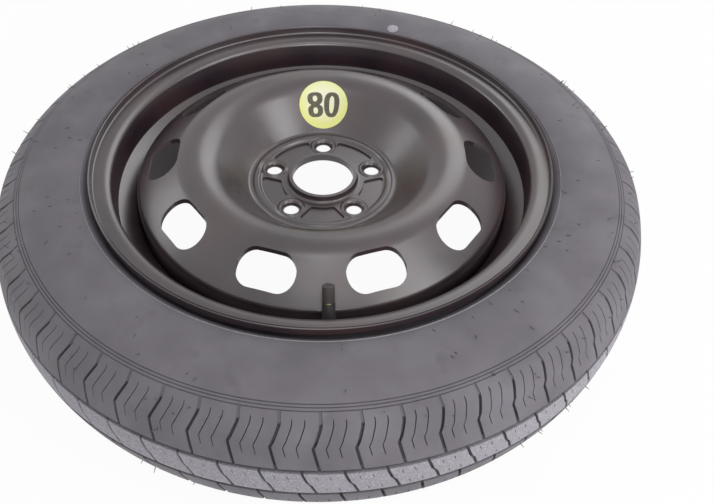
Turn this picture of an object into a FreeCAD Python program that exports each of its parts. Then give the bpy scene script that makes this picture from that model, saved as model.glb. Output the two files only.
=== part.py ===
"""Compact spare wheel lying with its outer face up.

A narrow temporary-use tyre sits on a rolled steel rim. A pressed steel disc with a domed crown and ten
slots is welded into the rim's well. A snap-in tyre valve with a screw cap passes through the rim.

Millimetres. The origin is the centre of the hub mounting face, +Z points out of the wheel's outer face,
-Y is the side nearest the viewer. The valve stands at that near side, the speed label opposite it.
"""
import FreeCAD, Part
import math
import os

# Rim: nominal bead seat and flange sizes, and the rolled sheet
RIM_SEAT_R = 218.3
RIM_FLANGE_HEIGHT = 14.2
RIM_WIDTH = 114.3
RIM_SHEET = 2.8
RIM_OFFSET = 31.0
LIP_REACH = 12.4
LIP_BEND = 7.5
SEAT_BEND = 6.5
SEAT_WIDTH = 22.0
SEAT_TAPER_DEG = 5.0
WELL_DEPTH = 25.5
WELL_BEND = 8.0
WELL_SLOPE_DEG = 28.0

# Disc: bore collar, bolt pad, dome and the flange that fits the well
DISC_SHEET = 4.5
BORE_R = 31.7
COLLAR_HEIGHT = 7.0
COLLAR_BEND = 3.5
BOLT_PCD = 108.0
BOLT_COUNT = 5
BOLT_FIRST_DEG = 90.0
BOLT_HOLE_R = 7.8
SEAT_MOUTH_R = 11.0
SEAT_CONE_DEG = 60.0
BOSS_TOP_R = 12.2
BOSS_FOOT_R = 14.4
BOSS_HEIGHT = 3.4
PAD_R = 64.5
RIDGE_WIDTH = 6.5
RIDGE_HEIGHT = 2.2
POCKET_INNER_R = 43.0
POCKET_OUTER_R = 63.0
POCKET_DEPTH = 2.0
BRIDGE_WIDTH = 30.0
POCKET_BEND = 3.0
BOWL_R = 77.0
BOWL_SLOPE_DEG = 46.0
BOWL_BEND = 3.0
CREST_BEND = 34.0
CREST_CORNER_R = 125.2
SKIRT_SLOPE_DEG = 32.6
SKIRT_BEND = 9.0
FLANGE_DROP = 44.0
FLANGE_CLEARANCE = 0.2

# Slots round the dome
SLOT_COUNT = 10
SLOT_CENTRE_R = 161.5
SLOT_LENGTH = 56.5
SLOT_WIDTH = 32.5
SLOT_BEND = 15.8

# Stitch welds between the disc flange and the rim well
WELD_COUNT = 5
WELD_ARC_DEG = 34.0
WELD_LEG = 3.6
WELD_FIRST_DEG = 54.0

# Tyre
TYRE_R = 332.0
TREAD_EDGE_R = 322.5
TREAD_HALF = 47.0
SHOULDER_R = 298.0
SHOULDER_HALF = 65.5
SECTION_R = 264.0
SECTION_HALF = 72.4
CLINCH_R = 238.7
CLINCH_HALF = 69.0
SIDEWALL = 8.0
CROWN = 15.5
BEAD_WIDTH = 21.0
BEAD_CLEARANCE = 0.3
GROOVE_OFFSET = 19.0
GROOVE_WIDTH = 6.0
GROOVE_DEPTH = 5.0

# Tread pattern: one pitch repeats round the tyre
PITCHES = 60
LATERAL_WIDTH = 2.8
LATERAL_DEPTH = 4.0
LATERAL_LINE = ((0.0, 64.0), (1.4, 57.0), (-5.0, 42.0), (0.6, GROOVE_OFFSET))
RIB_CUT_WIDTH = 2.4
RIB_CUT_DEPTH = 3.0
RIB_CUT_LINE = ((0.0, 0.0), (-1.5, 2.0), (-6.5, GROOVE_OFFSET))

# Valve, measured along its own axis from the rim's axis-side face
VALVE_ANGLE_DEG = 272.0
VALVE_FROM_SEAT = 12.0
VALVE_HOLE_R = 5.65
VALVE_NECK_GAP = 0.1
STEM_BUTTON_R = 9.5
STEM_BUTTON_DEPTH = 8.5
STEM_COLLAR_R = 7.9
STEM_TOP_R = 5.7
STEM_TOP = 30.6
INSERT_R = 3.85
INSERT_FOOT = 6.0
INSERT_TOP = 43.5
CORE_BORE_R = 2.7
CHAMBER_R = 2.2
CHAMBER_FOOT = 19.0
CHAMBER_TOP = 33.0
FIT_GAP = 0.05
CORE_HEAD_R = 2.6
CORE_BARREL_R = 1.75
CORE_GUIDE_R = 1.1
CORE_TOP = 41.5
CORE_FOOT = 28.0
PIN_R = 0.7
PIN_TOP = 42.9
PIN_FOOT = 17.5
PLUNGER_R = 1.6
PLUNGER_FOOT = 25.0
PLUNGER_TOP = 26.4
SPRING_WIRE_R = 0.22
SPRING_R = 1.25
SPRING_TURNS = 4
CAP_R = 5.7
CAP_BORE_R = 4.25
CAP_FOOT = 32.0
CAP_TOP = 47.5
CAP_CEILING = 45.4
CAP_FLUTES = 18
CAP_FLUTE_R = 0.55
CAP_FLUTE_FOOT = 34.0
CAP_SEAL_R = 3.85

# Labels
LABEL_R = 26.5
LABEL_CENTRE_R = 98.5
LABEL_ANGLE_DEG = 90.0
LABEL_LIFT = 0.05
LABEL_THICKNESS = 0.2
DOT_R = 6.5
DOT_CENTRE_R = 249.5
DOT_ANGLE_DEG = 70.6

# Values that follow from the driving sizes
MID_Z = -RIM_OFFSET
RIM_HALF = RIM_WIDTH / 2.0
FLANGE_R = RIM_SEAT_R + RIM_FLANGE_HEIGHT
WELL_R = RIM_SEAT_R - WELL_DEPTH
SEAT_END_R = RIM_SEAT_R - SEAT_WIDTH * math.tan(math.radians(SEAT_TAPER_DEG))
SEAT_END_HALF = RIM_HALF - SEAT_WIDTH
WELL_RUN = (SEAT_END_R - WELL_R) * math.tan(math.radians(WELL_SLOPE_DEG))
BIG = 1000.0
UP = FreeCAD.Vector(0, 0, 1)
ORIGIN = FreeCAD.Vector(0, 0, 0)


def at(r, z):
    """A point of a section drawn in the XZ plane."""
    return FreeCAD.Vector(r, 0, z)


def rounded_path(corners):
    """Lines joined by tangent arcs through corners given as (r, z, bend radius)."""
    edges = []
    last = at(corners[0][0], corners[0][1])
    for before, here, after in zip(corners, corners[1:], corners[2:]):
        tip = at(here[0], here[1])
        if here[2] <= 0:
            edges.append(Part.makeLine(last, tip))
            last = tip
            continue
        back = (at(before[0], before[1]) - tip).normalize()
        ahead = (at(after[0], after[1]) - tip).normalize()
        half = back.getAngle(ahead) / 2.0
        reach = here[2] / math.tan(half)
        inward = (back + ahead).normalize()
        start = tip + back * reach
        end = tip + ahead * reach
        middle = tip + inward * (here[2] / math.sin(half) - here[2])
        if (start - last).Length > 1e-6:
            edges.append(Part.makeLine(last, start))
        edges.append(Part.Arc(start, middle, end).toShape())
        last = end
    end = at(corners[-1][0], corners[-1][1])
    if (end - last).Length > 1e-6:
        edges.append(Part.makeLine(last, end))
    return edges


def offset_corners(corners, gap):
    """The same open path moved to its right by gap, bends kept concentric."""
    heads = []
    for first, second in zip(corners, corners[1:]):
        step = (at(second[0], second[1]) - at(first[0], first[1])).normalize()
        heads.append(step)
    moved = []
    for index, corner in enumerate(corners):
        before = heads[max(index - 1, 0)]
        after = heads[min(index, len(heads) - 1)]
        right_before = at(before.z, -before.x)
        right_after = at(after.z, -after.x)
        share = gap / (1.0 + right_before.dot(right_after))
        spot = at(corner[0], corner[1]) + (right_before + right_after) * share
        turn = before.x * after.z - before.z * after.x
        bend = corner[2]
        if bend > 0:
            bend = bend + math.copysign(gap, turn)
        moved.append((spot.x, spot.z, bend))
    return moved


def spun(edges, degrees=360.0):
    """Solid of revolution about the wheel axis from a closed chain of section edges."""
    wire = Part.Wire(Part.__sortEdges__(edges))
    return Part.Face(wire).revolve(ORIGIN, UP, degrees)


def closed(corners):
    """Section edges of a closed outline of (r, z, bend) corners, the first corner square."""
    return rounded_path(list(corners) + [corners[0]])


def sheet(corners, start, thickness, degrees=360.0):
    """A revolved sheet that lies between two right-hand offsets of one path."""
    near = offset_corners(corners, start) if start else list(corners)
    far = offset_corners(corners, start + thickness)
    edges = rounded_path(near) + rounded_path(far)
    edges.append(Part.makeLine(at(near[0][0], near[0][1]), at(far[0][0], far[0][1])))
    edges.append(Part.makeLine(at(near[-1][0], near[-1][1]), at(far[-1][0], far[-1][1])))
    return spun(edges, degrees)


def turned(shape, degrees):
    """A copy turned about the wheel axis."""
    copy = shape.copy()
    copy.rotate(ORIGIN, UP, degrees)
    return copy


def ring_of(shape, count, first):
    """Evenly spaced copies about the wheel axis."""
    return [turned(shape, first + 360.0 * index / count) for index in range(count)]


def rim_path():
    """Tyre-side face of the rolled rim, from the outer lip to the inner lip."""
    outer = MID_Z + RIM_HALF
    inner = MID_Z - RIM_HALF
    well_top = MID_Z + SEAT_END_HALF - WELL_RUN
    well_foot = MID_Z - SEAT_END_HALF + WELL_RUN
    return [
        (FLANGE_R, outer + LIP_REACH, 0),
        (FLANGE_R, outer, LIP_BEND),
        (RIM_SEAT_R, outer, SEAT_BEND),
        (SEAT_END_R, MID_Z + SEAT_END_HALF, WELL_BEND),
        (WELL_R, well_top, WELL_BEND),
        (WELL_R, well_foot, WELL_BEND),
        (SEAT_END_R, MID_Z - SEAT_END_HALF, WELL_BEND),
        (RIM_SEAT_R, inner, SEAT_BEND),
        (FLANGE_R, inner, LIP_BEND),
        (FLANGE_R, inner - LIP_REACH, 0),
    ]


def disc_path():
    """Outer face of the pressed disc, from the collar round the bore to the end of the flange."""
    top = DISC_SHEET
    collar = BORE_R + DISC_SHEET - 1.0
    rise = math.tan(math.radians(BOWL_SLOPE_DEG))
    fall = math.tan(math.radians(SKIRT_SLOPE_DEG))
    flange = WELL_R - RIM_SHEET - FLANGE_CLEARANCE
    crest_z = top + 1.0 + (CREST_CORNER_R - BOWL_R) * rise
    return [
        (collar, top + COLLAR_HEIGHT, 0),
        (collar, top, COLLAR_BEND),
        (PAD_R, top, 2.0),
        (PAD_R + RIDGE_HEIGHT, top + RIDGE_HEIGHT, 1.5),
        (PAD_R + RIDGE_WIDTH, top + RIDGE_HEIGHT, 1.5),
        (PAD_R + RIDGE_WIDTH + RIDGE_HEIGHT, top + 1.0, 1.5),
        (BOWL_R, top + 1.0, BOWL_BEND),
        (CREST_CORNER_R, crest_z, CREST_BEND),
        (flange, crest_z - (flange - CREST_CORNER_R) * fall, SKIRT_BEND),
        (flange, -FLANGE_DROP, 0),
    ]


def valve_frame():
    """Placement whose Z axis is the valve axis, square to the slope between seat and well."""
    slope = math.radians(WELL_SLOPE_DEG)
    top_z = MID_Z + SEAT_END_HALF
    r = SEAT_END_R - VALVE_FROM_SEAT * math.cos(slope) - RIM_SHEET * math.sin(slope)
    z = top_z - VALVE_FROM_SEAT * math.sin(slope) + RIM_SHEET * math.cos(slope)
    tilt = FreeCAD.Rotation(FreeCAD.Vector(0, 1, 0), -WELL_SLOPE_DEG)
    swing = FreeCAD.Rotation(UP, VALVE_ANGLE_DEG)
    return FreeCAD.Placement(swing.multVec(at(r, z)), swing.multiply(tilt))


def on_valve(shape):
    """A copy moved from the valve's own axis to its place on the rim."""
    copy = shape.copy()
    copy.Placement = valve_frame().multiply(copy.Placement)
    return copy


def lathe(points):
    """A valve piece turned from (r, z) corners about the valve axis."""
    return spun(closed([(r, z, 0) for r, z in points]))


def rim_barrel():
    """Rolled rim with the valve hole through its outer slope."""
    barrel = sheet(rim_path(), 0.0, RIM_SHEET)
    hole = Part.makeCylinder(VALVE_HOLE_R, 40.0, FreeCAD.Vector(0, 0, -20.0), UP)
    return barrel.cut(on_valve(hole))


def slot_cutter():
    """Upright prism of one rounded slot, its long side round the wheel."""
    half_l = SLOT_LENGTH / 2.0
    half_w = SLOT_WIDTH / 2.0
    block = Part.makeBox(SLOT_WIDTH, SLOT_LENGTH, BIG, FreeCAD.Vector(SLOT_CENTRE_R - half_w, -half_l, -5.0))
    upright = [edge for edge in block.Edges if abs(edge.tangentAt(edge.FirstParameter).z) > 0.9]
    return block.makeFillet(SLOT_BEND, upright)


def pocket_cutter():
    """One shallow pocket of the bolt pad, between two bolts, its sides square to the bolt radii."""
    top = DISC_SHEET
    depth = top - POCKET_DEPTH
    outer = Part.makeCylinder(POCKET_OUTER_R, top, FreeCAD.Vector(0, 0, depth))
    band = outer.cut(Part.makeCylinder(POCKET_INNER_R, top, FreeCAD.Vector(0, 0, depth)))
    step = 360.0 / BOLT_COUNT
    wedge = Part.makeCylinder(BIG, top, FreeCAD.Vector(0, 0, depth), UP, step)
    band = band.common(wedge)
    half = BRIDGE_WIDTH / 2.0
    bridge = Part.makeBox(BIG, BRIDGE_WIDTH, BIG, FreeCAD.Vector(0, -half, -BIG / 2.0))
    pocket = band.cut([bridge, turned(bridge, step)])
    upright = [edge for edge in pocket.Edges if abs(edge.tangentAt(edge.FirstParameter).z) > 0.9]
    return pocket.makeFillet(POCKET_BEND, upright)


def wheel_disc():
    """Pressed disc: collar, bolt bosses with conical seats, pockets and slots."""
    disc = sheet(disc_path(), 0.0, DISC_SHEET)
    bolt_r = BOLT_PCD / 2.0
    spot = FreeCAD.Vector(bolt_r, 0, 0)
    boss_z = DISC_SHEET + BOSS_HEIGHT
    boss = Part.makeCone(BOSS_FOOT_R, BOSS_TOP_R, BOSS_HEIGHT, spot + UP * DISC_SHEET)
    foot = Part.makeCylinder(BOSS_FOOT_R, DISC_SHEET, spot)
    seat_depth = (SEAT_MOUTH_R - BOLT_HOLE_R) / math.tan(math.radians(SEAT_CONE_DEG / 2.0))
    seat = Part.makeCone(BOLT_HOLE_R, SEAT_MOUTH_R, seat_depth, spot + UP * (boss_z - seat_depth))
    hole = Part.makeCylinder(BOLT_HOLE_R, BIG, spot - UP * 5.0)
    pockets = ring_of(pocket_cutter(), BOLT_COUNT, BOLT_FIRST_DEG)
    bore = Part.makeCylinder(BORE_R, BIG, UP * -5.0)
    disc = disc.cut(pockets)
    disc = disc.fuse(ring_of(boss.fuse(foot), BOLT_COUNT, BOLT_FIRST_DEG))
    cuts = ring_of(seat.fuse(hole), BOLT_COUNT, BOLT_FIRST_DEG)
    cuts += ring_of(slot_cutter(), SLOT_COUNT, 0.0)
    return disc.cut(cuts + [bore]).removeSplitter()


def weld_beads():
    """Stitch welds in the corner between the flange's inner edge and the rim well."""
    r = WELL_R - RIM_SHEET
    foot = -FLANGE_DROP - FIT_GAP
    outline = [(r - FIT_GAP, foot, 0), (r - WELD_LEG, foot, 0), (r - WELD_LEG, foot - 1.2, 0),
               (r - 1.2, foot - WELD_LEG, 0), (r - FIT_GAP, foot - WELD_LEG, 0)]
    bead = spun(closed(outline), WELD_ARC_DEG)
    first = WELD_FIRST_DEG - WELD_ARC_DEG / 2.0
    return Part.makeCompound(ring_of(bead, WELD_COUNT, first))


def arc3(first, middle, last):
    """Section arc through three (r, half-width) points, placed about the tyre's mid-plane."""
    spots = [at(r, MID_Z + half) for r, half in (first, middle, last)]
    return Part.Arc(*spots).toShape()


def line2(first, last):
    """Section line between two (r, half-width) points, placed about the tyre's mid-plane."""
    return Part.makeLine(at(first[0], MID_Z + first[1]), at(last[0], MID_Z + last[1]))


def shoulder_point(lift=0.0):
    """Middle of the rounded shoulder between sidewall and tread."""
    share = math.sqrt(0.5)
    r = (SHOULDER_R + TREAD_EDGE_R) / 2.0 + 2.0 * share
    half = (SHOULDER_HALF + TREAD_HALF) / 2.0 + 2.0 * share
    return (r + lift * share, half + lift * share)


def crown_r(half, lift=0.0):
    """Radius of the tread at a distance from the mid-plane."""
    drop = (TYRE_R - TREAD_EDGE_R) * (half / TREAD_HALF) ** 2
    return TYRE_R - drop + lift


def tyre_half(side):
    """Edges of one side of the tyre section, from mid-tread round the bead to mid-crown inside."""
    def on(r, half):
        return (r, side * half)

    gap = BEAD_CLEARANCE
    lip_r = FLANGE_R - LIP_BEND
    lip_half = RIM_HALF + LIP_BEND
    hug = LIP_BEND + gap
    part_turn = math.radians(45.0)
    leave = math.radians(80.0)
    curl_mid = (lip_r + hug * math.sin(part_turn), lip_half - hug * math.cos(part_turn))
    curl_end = (lip_r + hug * math.sin(leave), lip_half - hug * math.cos(leave))
    heel = SEAT_BEND + gap
    face = RIM_HALF - gap
    seat_r = RIM_SEAT_R + gap
    heel_mid = (seat_r + heel * (1 - math.sqrt(0.5)), face - heel * (1 - math.sqrt(0.5)))
    toe_half = RIM_HALF - BEAD_WIDTH
    toe_r = seat_r - (BEAD_WIDTH - heel) * math.tan(math.radians(SEAT_TAPER_DEG)) + 0.2
    inner_r = TYRE_R - CROWN
    lining = SECTION_HALF - SIDEWALL
    edges = [
        arc3(on(TYRE_R, 0.0), on(crown_r(TREAD_HALF / 2.0), TREAD_HALF / 2.0), on(TREAD_EDGE_R, TREAD_HALF)),
        arc3(on(TREAD_EDGE_R, TREAD_HALF), on(*shoulder_point()), on(SHOULDER_R, SHOULDER_HALF)),
        arc3(on(SHOULDER_R, SHOULDER_HALF), on(SECTION_R, SECTION_HALF), on(CLINCH_R, CLINCH_HALF)),
        line2(on(CLINCH_R, CLINCH_HALF), on(*curl_end)),
        arc3(on(*curl_end), on(*curl_mid), on(lip_r, lip_half - hug)),
        line2(on(lip_r, face), on(seat_r + heel, face)),
        arc3(on(seat_r + heel, face), on(*heel_mid), on(seat_r, face - heel)),
        line2(on(seat_r, face - heel), on(toe_r, toe_half)),
        line2(on(toe_r, toe_half), on(toe_r + 12.0, toe_half + 3.0)),
        arc3(on(toe_r + 12.0, toe_half + 3.0), on(SECTION_R - 2.0, lining), on(inner_r - 8.0, TREAD_HALF)),
        arc3(on(inner_r - 8.0, TREAD_HALF), on(inner_r - 1.8, TREAD_HALF / 2.0), on(inner_r, 0.0)),
    ]
    return edges


def tread_skin(depth):
    """A thin sector that follows the tread and one shoulder, from depth below to clear above."""
    clear = 6.0
    foot = -depth
    low = [(crown_r(0.0, foot), 0.0), (crown_r(TREAD_HALF / 2.0, foot), TREAD_HALF / 2.0),
           (TREAD_EDGE_R + foot, TREAD_HALF + foot * 0.2)]
    turn = shoulder_point(foot)
    end = (SHOULDER_R + foot * 0.35, SHOULDER_HALF + foot * 0.95)
    edges = [
        arc3(*low),
        arc3(low[-1], turn, end),
        line2(end, (SHOULDER_R, SHOULDER_HALF + clear * 2.0)),
        line2((SHOULDER_R, SHOULDER_HALF + clear * 2.0), (TYRE_R + clear, SHOULDER_HALF + clear * 2.0)),
        line2((TYRE_R + clear, SHOULDER_HALF + clear * 2.0), (TYRE_R + clear, 0.0)),
        line2((TYRE_R + clear, 0.0), low[0]),
    ]
    sector = spun(edges, 720.0 / PITCHES)
    return turned(sector, -360.0 / PITCHES)


def strip_prism(centres, width):
    """Radial prism over a bent strip of even width, given by (round-the-tyre, half-width) centres."""
    half = width / 2.0
    left = [FreeCAD.Vector(0, s - half, MID_Z + a) for s, a in centres]
    right = [FreeCAD.Vector(0, s + half, MID_Z + a) for s, a in reversed(centres)]
    outline = Part.makePolygon(left + right + [left[0]])
    return Part.Face(outline).extrude(FreeCAD.Vector(TYRE_R + 20.0, 0, 0))


def shoulder_cutter():
    """One wavy groove that runs from the shoulder into the main groove."""
    return strip_prism(LATERAL_LINE, LATERAL_WIDTH).common(tread_skin(LATERAL_DEPTH))


def rib_cutter():
    """One bent cut across the whole centre rib, the same from both ends."""
    half = strip_prism(RIB_CUT_LINE, RIB_CUT_WIDTH).common(tread_skin(RIB_CUT_DEPTH))
    return half.fuse(flipped(half)).removeSplitter()


def flipped(shape):
    """The same cutter on the tyre's other side, turned end for end as a mould half is."""
    copy = shape.copy()
    copy.rotate(at(0, MID_Z), FreeCAD.Vector(1, 0, 0), 180.0)
    return copy


def tyre():
    """One moulded tyre: hollow carcass, two main grooves and the repeated tread pattern."""
    body = spun(tyre_half(1) + tyre_half(-1))
    grooves = []
    for side in (1, -1):
        foot = MID_Z + side * GROOVE_OFFSET - GROOVE_WIDTH / 2.0
        floor = crown_r(GROOVE_OFFSET) - GROOVE_DEPTH
        ring = Part.makeCylinder(TYRE_R + 10.0, GROOVE_WIDTH, at(0, foot))
        grooves.append(ring.cut(Part.makeCylinder(floor, GROOVE_WIDTH, at(0, foot))))
    step = 360.0 / PITCHES
    shoulder = shoulder_cutter()
    cutters = ring_of(shoulder, PITCHES, 0.0)
    cutters += ring_of(flipped(shoulder), PITCHES, step / 2.0)
    cutters += ring_of(rib_cutter(), PITCHES, -step / 4.0)
    return body.cut(grooves).cut(cutters)


def valve_stem():
    """Rubber snap-in body: button on the tyre side, neck in the hole, collar and tapered stem."""
    neck = VALVE_HOLE_R - VALVE_NECK_GAP
    under = -RIM_SHEET - VALVE_NECK_GAP
    bore = INSERT_R + FIT_GAP
    foot = under - STEM_BUTTON_DEPTH
    return on_valve(lathe([
        (2.6, foot), (STEM_BUTTON_R - 2.0, foot), (STEM_BUTTON_R, foot + 2.5), (STEM_BUTTON_R - 0.6, under),
        (neck, under), (neck, VALVE_NECK_GAP), (STEM_COLLAR_R - 0.4, VALVE_NECK_GAP), (STEM_COLLAR_R, 1.6),
        (STEM_COLLAR_R - 1.2, 6.0), (STEM_TOP_R + 0.6, 12.0), (STEM_TOP_R, STEM_TOP), (bore, STEM_TOP),
        (bore, INSERT_FOOT - FIT_GAP), (2.6, INSERT_FOOT - FIT_GAP)]))


def valve_insert():
    """Brass tube bonded in the stem, with the core bore, the spring chamber and the air passage."""
    return on_valve(lathe([
        (1.4, INSERT_FOOT), (INSERT_R, INSERT_FOOT), (INSERT_R, INSERT_TOP), (CORE_BORE_R, INSERT_TOP),
        (CORE_BORE_R, CHAMBER_TOP), (CHAMBER_R, CHAMBER_TOP), (CHAMBER_R, CHAMBER_FOOT), (1.4, CHAMBER_FOOT)]))


def core_body():
    """Brass core screwed into the insert, with a guide hole for the pin."""
    shoulder = CHAMBER_TOP + FIT_GAP
    return on_valve(lathe([
        (CORE_GUIDE_R, CORE_FOOT), (CORE_BARREL_R, CORE_FOOT), (CORE_BARREL_R, shoulder),
        (CORE_HEAD_R, shoulder), (CORE_HEAD_R, CORE_TOP), (CORE_GUIDE_R, CORE_TOP)]))


def core_seal():
    """Sealing ring between the core barrel and the insert."""
    inner = CORE_BARREL_R + FIT_GAP
    outer = CHAMBER_R - FIT_GAP
    return on_valve(lathe([(inner, CORE_FOOT + 1.0), (outer, CORE_FOOT + 1.0), (outer, CORE_FOOT + 4.0),
                           (inner, CORE_FOOT + 4.0)]))


def valve_pin():
    """Pin with its plunger: pressing the tip opens the valve."""
    return on_valve(lathe([
        (0.0, PIN_FOOT), (PIN_R, PIN_FOOT), (PIN_R, PLUNGER_FOOT), (PLUNGER_R, PLUNGER_FOOT),
        (PLUNGER_R, PLUNGER_TOP), (PIN_R, PLUNGER_TOP), (PIN_R, PIN_TOP), (0.0, PIN_TOP)]))


def pin_seal():
    """Soft washer on the plunger that closes the core's lower end."""
    inner = PIN_R + FIT_GAP
    return on_valve(lathe([(inner, PLUNGER_TOP + FIT_GAP), (PLUNGER_R, PLUNGER_TOP + FIT_GAP),
                           (PLUNGER_R, CORE_FOOT - FIT_GAP), (inner, CORE_FOOT - FIT_GAP)]))


def core_spring():
    """Wire spring that holds the plunger up."""
    foot = CHAMBER_FOOT + SPRING_WIRE_R + FIT_GAP
    height = PLUNGER_FOOT - CHAMBER_FOOT - 2.0 * (SPRING_WIRE_R + FIT_GAP)
    helix = Part.makeHelix(height / SPRING_TURNS, height, SPRING_R)
    wire = Part.Wire(Part.makeCircle(SPRING_WIRE_R, FreeCAD.Vector(SPRING_R, 0, 0), FreeCAD.Vector(0, 1, 0)))
    coil = Part.Wire(helix).makePipeShell([wire], True, True)
    coil.translate(FreeCAD.Vector(0, 0, foot))
    return on_valve(coil)


def valve_cap():
    """Screw cap with flutes round its grip."""
    edge = 0.8
    cap = lathe([
        (CAP_BORE_R, CAP_FOOT), (CAP_R, CAP_FOOT), (CAP_R, CAP_TOP - edge), (CAP_R - edge, CAP_TOP),
        (0.0, CAP_TOP), (0.0, CAP_CEILING), (CAP_BORE_R, CAP_CEILING)])
    flute = Part.makeCylinder(CAP_FLUTE_R, BIG, FreeCAD.Vector(CAP_R + CAP_FLUTE_R * 0.3, 0, CAP_FLUTE_FOOT))
    return on_valve(cap.cut(ring_of(flute, CAP_FLUTES, 0.0)))


def cap_seal():
    """Rubber disc under the cap's ceiling that rests on the insert's mouth."""
    return on_valve(Part.makeCylinder(CAP_SEAL_R, CAP_CEILING - INSERT_TOP - 2.0 * FIT_GAP,
                                      FreeCAD.Vector(0, 0, INSERT_TOP + FIT_GAP)))


def speed_label():
    """Thin round label that follows the dome's inner slope."""
    slope = math.radians(BOWL_SLOPE_DEG)
    z = DISC_SHEET + 1.0 + (LABEL_CENTRE_R - BOWL_R) * math.tan(slope)
    film = sheet(disc_path()[5:9], -LABEL_LIFT - LABEL_THICKNESS, LABEL_THICKNESS, 60.0)
    film = turned(film, -30.0)
    normal = at(-math.sin(slope), math.cos(slope))
    die = Part.makeCylinder(LABEL_R, 60.0, at(LABEL_CENTRE_R, z) - normal * 30.0, normal)
    return turned(film.common(die), LABEL_ANGLE_DEG)


def sidewall_dot():
    """Small round mark on the outer sidewall."""
    lift = LABEL_LIFT
    skins = []
    for gap in (lift, lift + LABEL_THICKNESS):
        first = (SHOULDER_R, SHOULDER_HALF + gap)
        middle = (SECTION_R, SECTION_HALF + gap)
        last = (CLINCH_R, CLINCH_HALF + gap)
        skins.append(arc3(first, middle, last))
    low = [skin.Vertexes[0].Point for skin in skins]
    high = [skin.Vertexes[-1].Point for skin in skins]
    edges = skins + [Part.makeLine(low[0], low[1]), Part.makeLine(high[0], high[1])]
    film = turned(spun(edges, 10.0), -5.0)
    die = Part.makeCylinder(DOT_R, BIG, at(DOT_CENTRE_R, MID_Z))
    return turned(film.common(die), DOT_ANGLE_DEG)


NODES = {
    "tyre": tyre,
    "rim_barrel": rim_barrel,
    "wheel_disc": wheel_disc,
    "weld_beads": weld_beads,
    "valve_stem": valve_stem,
    "valve_insert": valve_insert,
    "core_body": core_body,
    "core_seal": core_seal,
    "valve_pin": valve_pin,
    "pin_seal": pin_seal,
    "core_spring": core_spring,
    "valve_cap": valve_cap,
    "cap_seal": cap_seal,
    "speed_label": speed_label,
    "sidewall_dot": sidewall_dot,
}

os.makedirs("parts", exist_ok=True)
for name, make in NODES.items():
    shape = make()
    shape.exportStep("parts/" + name + ".step")
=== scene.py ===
"""Looks for a compact spare wheel: a moulded tyre on a black pressed-steel wheel with a capped valve."""
import logging
import math
import random
from dataclasses import dataclass
from enum import Enum
from typing import Callable, Iterable, Sequence

import bmesh
import bpy
from mathutils import Matrix, Vector


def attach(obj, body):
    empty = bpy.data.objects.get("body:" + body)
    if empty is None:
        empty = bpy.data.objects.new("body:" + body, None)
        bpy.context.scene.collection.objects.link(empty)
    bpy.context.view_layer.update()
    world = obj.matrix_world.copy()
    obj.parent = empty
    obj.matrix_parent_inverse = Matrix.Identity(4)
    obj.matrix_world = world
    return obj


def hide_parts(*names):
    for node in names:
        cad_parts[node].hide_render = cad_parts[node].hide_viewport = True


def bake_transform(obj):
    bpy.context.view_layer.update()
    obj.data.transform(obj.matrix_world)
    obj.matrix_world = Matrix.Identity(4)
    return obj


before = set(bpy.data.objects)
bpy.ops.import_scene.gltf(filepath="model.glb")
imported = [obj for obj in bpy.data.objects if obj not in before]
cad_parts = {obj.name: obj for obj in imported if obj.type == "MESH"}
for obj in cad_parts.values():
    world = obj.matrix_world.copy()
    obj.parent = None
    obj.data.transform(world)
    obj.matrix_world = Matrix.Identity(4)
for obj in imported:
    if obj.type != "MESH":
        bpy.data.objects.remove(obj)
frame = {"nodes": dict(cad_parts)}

MM = 0.001
PHOTO_WIDTH = 714
SENSOR_MM = 36.0
SHARP_DEG = 32.0
MERGE_MM = 0.005
# Per-vertex share of painted shade in the tyre's grooves, sipes and sidewall lines
GROOVE_SHADE_LAYER = "groove_depth"
# Per-vertex mark of the painted highlight on the centre rib and the raised line by the rim
RIB_HIGHLIGHT_LAYER = "painted_rib_highlight"
DRY_COAT = "dry_coat"

log = logging.getLogger("spare_wheel")

Point2 = tuple[float, float]
Span = tuple[float, float]
Triple = tuple[float, float, float]
Colour = tuple[float, float, float, float]


class Body(str, Enum):
    """The rigid bodies that pieces ride on."""

    WHEEL = "wheel"
    PIN = "pin"
    CAP = "cap"


class Slot(str, Enum):
    """The record's material slots."""

    TYRE = "tyre"
    PAINT = "wheel_paint"
    RUBBER = "rubber"
    SPRING = "spring_steel"
    CAP = "cap_plastic"
    LABEL = "label_film"


def linear(hex_colour: str) -> Colour:
    """Turn an sRGB hex colour into linear RGBA.

    Args:
        hex_colour: a colour such as "#8a878c".

    Returns:
        The linear red, green, blue and an alpha of one.
    """
    parts = [int(hex_colour[i:i + 2], 16) / 255.0 for i in (1, 3, 5)]
    r, g, b = (c / 12.92 if c <= 0.04045 else ((c + 0.055) / 1.055) ** 2.4 for c in parts)
    return (r, g, b, 1.0)


def per_mm(size: float) -> float:
    """Texture scale, in waves per metre, of a pattern with features this many millimetres wide."""
    return 1.0 / (size * MM)


def plug(target: bpy.types.Node, links: dict) -> None:
    """Set or link a node's input sockets.

    Args:
        target: the node that is fed.
        links: socket name or number to a value, or to an output socket that is linked in.
    """
    for key, value in links.items():
        if isinstance(value, bpy.types.NodeSocket):
            target.id_data.links.new(value, target.inputs[key])
        else:
            target.inputs[key].default_value = value


def node(tree: bpy.types.NodeTree, kind: str, links: dict | None = None,
         stops: Sequence[tuple[float, str]] = (), **settings) -> bpy.types.Node:
    """Add a shader node with its settings, socket values and links.

    Args:
        tree: the node tree to add to.
        kind: the node's type name without the ShaderNode prefix.
        links: what its sockets are plugged with.
        stops: position and hex colour of a colour ramp's stops, lowest first.
        settings: attributes of the node itself.

    Returns:
        The new node.
    """
    new = tree.nodes.new("ShaderNode" + kind)
    for key, value in settings.items():
        setattr(new, key, value)
    plug(new, links or {})
    for index, (position, colour) in enumerate(stops):
        band = new.color_ramp.elements
        element = band[index] if index < len(band) else band.new(position)
        element.position = position
        element.color = linear(colour)
    return new


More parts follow.
